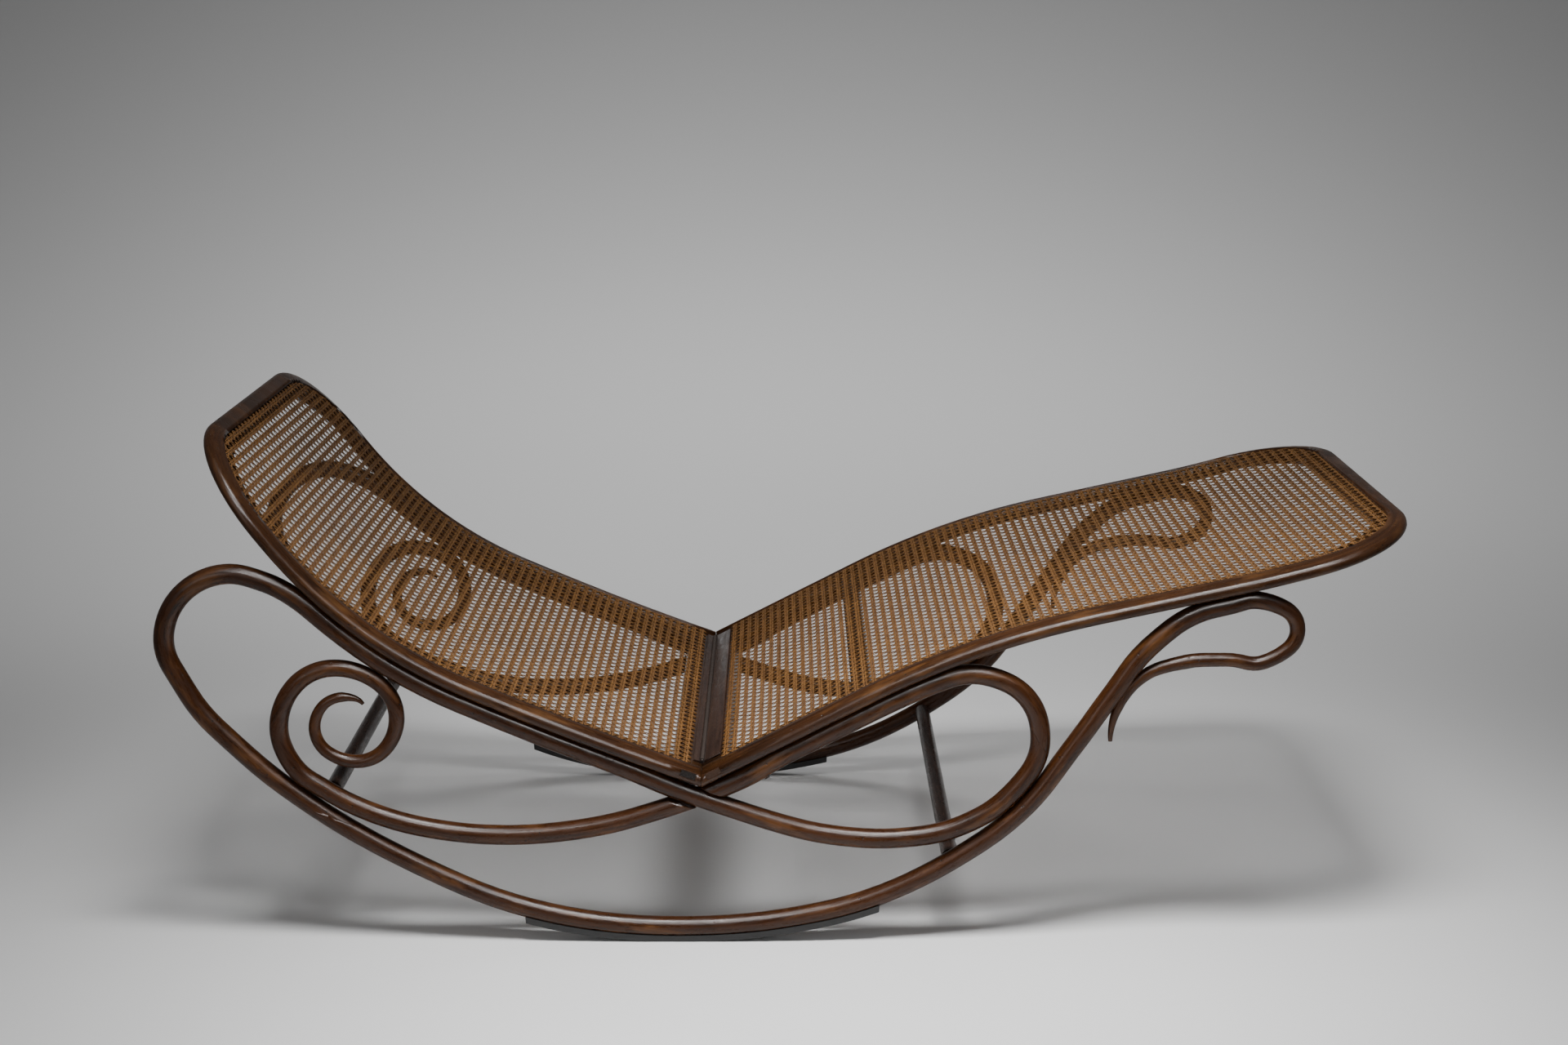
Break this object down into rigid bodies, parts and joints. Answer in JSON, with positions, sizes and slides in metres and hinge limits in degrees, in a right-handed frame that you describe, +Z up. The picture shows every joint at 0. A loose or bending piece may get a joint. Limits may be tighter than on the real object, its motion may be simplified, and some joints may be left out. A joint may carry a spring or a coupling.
{
  "type": "rocking chaise",
  "caption": "Bentwood rocking chaise: caned seat back and leg rest meet in a V on steam-bent rods that curl into a scroll at the head and a loop at the toe.",
  "frame": {"origin": "on the floor under the middle of the bounding box", "axes": "+X towards the foot end, +Y to the sitter's left, +Z up"},
  "size_m": [1.7425, 0.7, 0.719],
  "materials": {
    "bentwood": "gloss varnish",
    "frame_wood": "gloss varnish",
    "rail_wood": "satin varnish",
    "cane": "satin",
    "wear_strip": "matte",
    "hinge_steel": "dull",
    "screw_steel": "dull"
  },
  "bodies": {
    "base": {"right_runner": "bentwood", "right_back_arm": "bentwood", "right_scroll_arm": "bentwood", "right_wear_strip": "wear_strip", "left_runner": "bentwood", "left_back_arm": "bentwood", "left_scroll_arm": "bentwood", "left_wear_strip": "wear_strip", "leg_stretcher": "rail_wood", "back_stretcher": "rail_wood", "leg_frame_bow": "frame_wood", "leg_cross_rail": "rail_wood", "leg_slat": "rail_wood", "leg_cane": "cane", "leg_hinge_leaf": "hinge_steel", "hinge_pin": "hinge_steel", "leg_hinge_screws": "screw_steel", "leg_frame_screws": "screw_steel"},
    "backrest": {"back_frame_bow": "frame_wood", "back_cross_rail": "rail_wood", "back_cane": "cane", "back_hinge_leaf": "hinge_steel", "back_hinge_screws": "screw_steel"}
  },
  "joints": [
    {"name": "back_hinge", "type": "hinge", "parent": "base", "child": "backrest", "pos_m": [-0.1216, 0, 0.2558], "axis": [0, 1, 0], "range_deg": [0, 25]}
  ]
}
